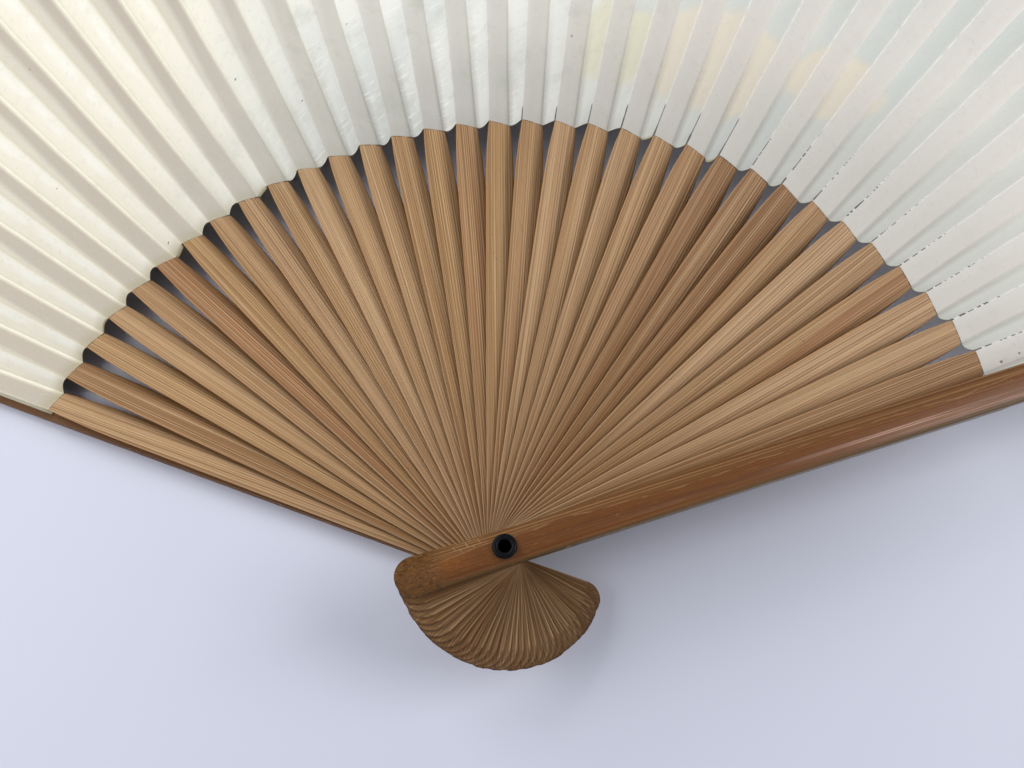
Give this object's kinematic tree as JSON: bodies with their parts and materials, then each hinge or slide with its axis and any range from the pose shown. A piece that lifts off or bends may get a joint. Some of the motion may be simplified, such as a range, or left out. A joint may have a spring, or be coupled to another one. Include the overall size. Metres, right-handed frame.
{
  "type": "folding fan",
  "caption": "Open paper folding fan with a pleated double-sheet leaf on slim bamboo ribs, two thicker guards and one hollow rivet.",
  "frame": {"origin": "centre of the rivet's flat back head, in the plane of the rear guard's flat underside that the fan lies on", "axes": "+Z along the rivet, up from the rear guard to the front guard; +Y along the middle rib, towards the leaf; +X to the right, towards the front guard"},
  "size_m": [0.3989, 0.2283, 0.0239],
  "materials": {
    "rib_bamboo": "bare bamboo, split and planed, fine straight grain",
    "guard_bamboo": "smoked bamboo skin, polished",
    "leaf_paper": "matte cream paper, two sheets",
    "rivet_plastic": "glossy black"
  },
  "bodies": {
    "rear_guard": {"rear_guard": "guard_bamboo", "eyelet_rivet": "rivet_plastic"},
    "rib_01": {"rib_01": "rib_bamboo", "leaf_01": "leaf_paper"},
    "rib_02": {"rib_02": "rib_bamboo"},
    "rib_03": {"rib_03": "rib_bamboo", "leaf_02": "leaf_paper"},
    "rib_04": {"rib_04": "rib_bamboo"},
    "rib_05": {"rib_05": "rib_bamboo", "leaf_03": "leaf_paper"},
    "rib_06": {"rib_06": "rib_bamboo"},
    "rib_07": {"rib_07": "rib_bamboo", "leaf_04": "leaf_paper"},
    "rib_08": {"rib_08": "rib_bamboo"},
    "rib_09": {"rib_09": "rib_bamboo", "leaf_05": "leaf_paper"},
    "rib_10": {"rib_10": "rib_bamboo"},
    "rib_11": {"rib_11": "rib_bamboo", "leaf_06": "leaf_paper"},
    "rib_12": {"rib_12": "rib_bamboo"},
    "rib_13": {"rib_13": "rib_bamboo", "leaf_07": "leaf_paper"},
    "rib_14": {"rib_14": "rib_bamboo"},
    "rib_15": {"rib_15": "rib_bamboo", "leaf_08": "leaf_paper"},
    "rib_16": {"rib_16": "rib_bamboo"},
    "rib_17": {"rib_17": "rib_bamboo", "leaf_09": "leaf_paper"},
    "rib_18": {"rib_18": "rib_bamboo"},
    "rib_19": {"rib_19": "rib_bamboo", "leaf_10": "leaf_paper"},
    "rib_20": {"rib_20": "rib_bamboo"},
    "rib_21": {"rib_21": "rib_bamboo", "leaf_11": "leaf_paper"},
    "rib_22": {"rib_22": "rib_bamboo"},
    "rib_23": {"rib_23": "rib_bamboo", "leaf_12": "leaf_paper"},
    "rib_24": {"rib_24": "rib_bamboo"},
    "rib_25": {"rib_25": "rib_bamboo", "leaf_13": "leaf_paper"},
    "rib_26": {"rib_26": "rib_bamboo"},
    "rib_27": {"rib_27": "rib_bamboo", "leaf_14": "leaf_paper"},
    "rib_28": {"rib_28": "rib_bamboo"},
    "rib_29": {"rib_29": "rib_bamboo", "leaf_15": "leaf_paper"},
    "rib_30": {"rib_30": "rib_bamboo"},
    "rib_31": {"rib_31": "rib_bamboo", "leaf_16": "leaf_paper"},
    "rib_32": {"rib_32": "rib_bamboo"},
    "rib_33": {"rib_33": "rib_bamboo", "leaf_17": "leaf_paper"},
    "front_guard": {"front_guard": "guard_bamboo"}
  },
  "joints": [
    {"name": "first_pleat", "type": "hinge", "parent": "rear_guard", "child": "rib_01", "pos_m": [0, 0, 0.0115], "axis": [0, 0, 1], "range_deg": [-4.01, 0.3], "deforming": ["leaf_01"]},
    {"name": "fan_spread", "type": "hinge", "parent": "rib_01", "child": "rib_02", "pos_m": [0, 0, 0.0115], "axis": [0, 0, 1], "range_deg": [0, 4.31], "deforming": ["leaf_01"]},
    {"name": "spread_03", "type": "hinge", "parent": "rib_02", "child": "rib_03", "pos_m": [0, 0, 0.0115], "axis": [0, 0, 1], "range_deg": [0, 4.31], "deforming": ["leaf_01"]},
    {"name": "spread_04", "type": "hinge", "parent": "rib_03", "child": "rib_04", "pos_m": [0, 0, 0.0115], "axis": [0, 0, 1], "range_deg": [0, 4.31], "deforming": ["leaf_02"]},
    {"name": "spread_05", "type": "hinge", "parent": "rib_04", "child": "rib_05", "pos_m": [0, 0, 0.0115], "axis": [0, 0, 1], "range_deg": [0, 4.31], "deforming": ["leaf_02"]},
    {"name": "spread_06", "type": "hinge", "parent": "rib_05", "child": "rib_06", "pos_m": [0, 0, 0.0115], "axis": [0, 0, 1], "range_deg": [0, 4.31], "deforming": ["leaf_03"]},
    {"name": "spread_07", "type": "hinge", "parent": "rib_06", "child": "rib_07", "pos_m": [0, 0, 0.0115], "axis": [0, 0, 1], "range_deg": [0, 4.31], "deforming": ["leaf_03"]},
    {"name": "spread_08", "type": "hinge", "parent": "rib_07", "child": "rib_08", "pos_m": [0, 0, 0.0115], "axis": [0, 0, 1], "range_deg": [0, 4.31], "deforming": ["leaf_04"]},
    {"name": "spread_09", "type": "hinge", "parent": "rib_08", "child": "rib_09", "pos_m": [0, 0, 0.0115], "axis": [0, 0, 1], "range_deg": [0, 4.31], "deforming": ["leaf_04"]},
    {"name": "spread_10", "type": "hinge", "parent": "rib_09", "child": "rib_10", "pos_m": [0, 0, 0.0115], "axis": [0, 0, 1], "range_deg": [0, 4.31], "deforming": ["leaf_05"]},
    {"name": "spread_11", "type": "hinge", "parent": "rib_10", "child": "rib_11", "pos_m": [0, 0, 0.0115], "axis": [0, 0, 1], "range_deg": [0, 4.31], "deforming": ["leaf_05"]},
    {"name": "spread_12", "type": "hinge", "parent": "rib_11", "child": "rib_12", "pos_m": [0, 0, 0.0115], "axis": [0, 0, 1], "range_deg": [0, 4.31], "deforming": ["leaf_06"]},
    {"name": "spread_13", "type": "hinge", "parent": "rib_12", "child": "rib_13", "pos_m": [0, 0, 0.0115], "axis": [0, 0, 1], "range_deg": [0, 4.31], "deforming": ["leaf_06"]},
    {"name": "spread_14", "type": "hinge", "parent": "rib_13", "child": "rib_14", "pos_m": [0, 0, 0.0115], "axis": [0, 0, 1], "range_deg": [0, 4.31], "deforming": ["leaf_07"]},
    {"name": "spread_15", "type": "hinge", "parent": "rib_14", "child": "rib_15", "pos_m": [0, 0, 0.0115], "axis": [0, 0, 1], "range_deg": [0, 4.31], "deforming": ["leaf_07"]},
    {"name": "spread_16", "type": "hinge", "parent": "rib_15", "child": "rib_16", "pos_m": [0, 0, 0.0115], "axis": [0, 0, 1], "range_deg": [0, 4.31], "deforming": ["leaf_08"]},
    {"name": "spread_17", "type": "hinge", "parent": "rib_16", "child": "rib_17", "pos_m": [0, 0, 0.0115], "axis": [0, 0, 1], "range_deg": [0, 4.31], "deforming": ["leaf_08"]},
    {"name": "spread_18", "type": "hinge", "parent": "rib_17", "child": "rib_18", "pos_m": [0, 0, 0.0115], "axis": [0, 0, 1], "range_deg": [0, 4.31], "deforming": ["leaf_09"]},
    {"name": "spread_19", "type": "hinge", "parent": "rib_18", "child": "rib_19", "pos_m": [0, 0, 0.0115], "axis": [0, 0, 1], "range_deg": [0, 4.31], "deforming": ["leaf_09"]},
    {"name": "spread_20", "type": "hinge", "parent": "rib_19", "child": "rib_20", "pos_m": [0, 0, 0.0115], "axis": [0, 0, 1], "range_deg": [0, 4.31], "deforming": ["leaf_10"]},
    {"name": "spread_21", "type": "hinge", "parent": "rib_20", "child": "rib_21", "pos_m": [0, 0, 0.0115], "axis": [0, 0, 1], "range_deg": [0, 4.31], "deforming": ["leaf_10"]},
    {"name": "spread_22", "type": "hinge", "parent": "rib_21", "child": "rib_22", "pos_m": [0, 0, 0.0115], "axis": [0, 0, 1], "range_deg": [0, 4.31], "deforming": ["leaf_11"]},
    {"name": "spread_23", "type": "hinge", "parent": "rib_22", "child": "rib_23", "pos_m": [0, 0, 0.0115], "axis": [0, 0, 1], "range_deg": [0, 4.31], "deforming": ["leaf_11"]},
    {"name": "spread_24", "type": "hinge", "parent": "rib_23", "child": "rib_24", "pos_m": [0, 0, 0.0115], "axis": [0, 0, 1], "range_deg": [0, 4.31], "deforming": ["leaf_12"]},
    {"name": "spread_25", "type": "hinge", "parent": "rib_24", "child": "rib_25", "pos_m": [0, 0, 0.0115], "axis": [0, 0, 1], "range_deg": [0, 4.31], "deforming": ["leaf_12"]},
    {"name": "spread_26", "type": "hinge", "parent": "rib_25", "child": "rib_26", "pos_m": [0, 0, 0.0115], "axis": [0, 0, 1], "range_deg": [0, 4.31], "deforming": ["leaf_13"]},
    {"name": "spread_27", "type": "hinge", "parent": "rib_26", "child": "rib_27", "pos_m": [0, 0, 0.0115], "axis": [0, 0, 1], "range_deg": [0, 4.31], "deforming": ["leaf_13"]},
    {"name": "spread_28", "type": "hinge", "parent": "rib_27", "child": "rib_28", "pos_m": [0, 0, 0.0115], "axis": [0, 0, 1], "range_deg": [0, 4.31], "deforming": ["leaf_14"]},
    {"name": "spread_29", "type": "hinge", "parent": "rib_28", "child": "rib_29", "pos_m": [0, 0, 0.0115], "axis": [0, 0, 1], "range_deg": [0, 4.31], "deforming": ["leaf_14"]},
    {"name": "spread_30", "type": "hinge", "parent": "rib_29", "child": "rib_30", "pos_m": [0, 0, 0.0115], "axis": [0, 0, 1], "range_deg": [0, 4.31], "deforming": ["leaf_15"]},
    {"name": "spread_31", "type": "hinge", "parent": "rib_30", "child": "rib_31", "pos_m": [0, 0, 0.0115], "axis": [0, 0, 1], "range_deg": [0, 4.31], "deforming": ["leaf_15"]},
    {"name": "spread_32", "type": "hinge", "parent": "rib_31", "child": "rib_32", "pos_m": [0, 0, 0.0115], "axis": [0, 0, 1], "range_deg": [0, 4.31], "deforming": ["leaf_16"]},
    {"name": "spread_33", "type": "hinge", "parent": "rib_32", "child": "rib_33", "pos_m": [0, 0, 0.0115], "axis": [0, 0, 1], "range_deg": [0, 4.31], "deforming": ["leaf_16"]},
    {"name": "last_pleat", "type": "hinge", "parent": "rib_33", "child": "front_guard", "pos_m": [0, 0, 0.0115], "axis": [0, 0, 1], "range_deg": [0, 3.84], "deforming": ["leaf_17"]}
  ],
  "couplings": [
    {"joint": "spread_03", "follows": "fan_spread", "ratio": 1},
    {"joint": "spread_04", "follows": "fan_spread", "ratio": 1},
    {"joint": "spread_05", "follows": "fan_spread", "ratio": 1},
    {"joint": "spread_06", "follows": "fan_spread", "ratio": 1},
    {"joint": "spread_07", "follows": "fan_spread", "ratio": 1},
    {"joint": "spread_08", "follows": "fan_spread", "ratio": 1},
    {"joint": "spread_09", "follows": "fan_spread", "ratio": 1},
    {"joint": "spread_10", "follows": "fan_spread", "ratio": 1},
    {"joint": "spread_11", "follows": "fan_spread", "ratio": 1},
    {"joint": "spread_12", "follows": "fan_spread", "ratio": 1},
    {"joint": "spread_13", "follows": "fan_spread", "ratio": 1},
    {"joint": "spread_14", "follows": "fan_spread", "ratio": 1},
    {"joint": "spread_15", "follows": "fan_spread", "ratio": 1},
    {"joint": "spread_16", "follows": "fan_spread", "ratio": 1},
    {"joint": "spread_17", "follows": "fan_spread", "ratio": 1},
    {"joint": "spread_18", "follows": "fan_spread", "ratio": 1},
    {"joint": "spread_19", "follows": "fan_spread", "ratio": 1},
    {"joint": "spread_20", "follows": "fan_spread", "ratio": 1},
    {"joint": "spread_21", "follows": "fan_spread", "ratio": 1},
    {"joint": "spread_22", "follows": "fan_spread", "ratio": 1},
    {"joint": "spread_23", "follows": "fan_spread", "ratio": 1},
    {"joint": "spread_24", "follows": "fan_spread", "ratio": 1},
    {"joint": "spread_25", "follows": "fan_spread", "ratio": 1},
    {"joint": "spread_26", "follows": "fan_spread", "ratio": 1},
    {"joint": "spread_27", "follows": "fan_spread", "ratio": 1},
    {"joint": "spread_28", "follows": "fan_spread", "ratio": 1},
    {"joint": "spread_29", "follows": "fan_spread", "ratio": 1},
    {"joint": "spread_30", "follows": "fan_spread", "ratio": 1},
    {"joint": "spread_31", "follows": "fan_spread", "ratio": 1},
    {"joint": "spread_32", "follows": "fan_spread", "ratio": 1},
    {"joint": "spread_33", "follows": "fan_spread", "ratio": 1},
    {"joint": "last_pleat", "follows": "fan_spread", "ratio": 0.8909}
  ]
}
